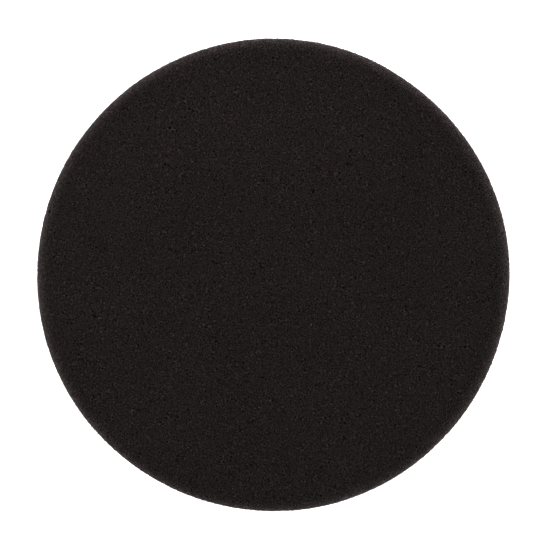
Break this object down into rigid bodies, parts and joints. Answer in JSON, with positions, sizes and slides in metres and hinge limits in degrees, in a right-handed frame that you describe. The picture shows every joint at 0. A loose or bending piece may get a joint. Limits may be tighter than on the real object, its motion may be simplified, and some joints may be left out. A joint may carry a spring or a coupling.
{
  "type": "polishing pad",
  "caption": "Flat round foam polishing pad, black and fine-pored, with a rounded working edge and a hook-and-loop backing.",
  "frame": {"origin": "centre of the hook-and-loop backing's mounting face, which the pad lies on", "axes": "+Z along the axis of rotation, from the backing towards the working face; X and Y are alike"},
  "size_m": [0.15, 0.15, 0.0274],
  "materials": {
    "foam": "open-cell polyurethane foam, fine pores, fully matt",
    "adhesive": "set hot-melt adhesive, translucent cream, satin",
    "cloth": "black warp-knitted polyamide, matt",
    "pile": "raised polyamide loops, soft sheen"
  },
  "bodies": {
    "root": {"foam_disc": "foam", "adhesive_film": "adhesive", "backing_cloth": "cloth", "loop_pile": "pile"}
  },
  "joints": []
}
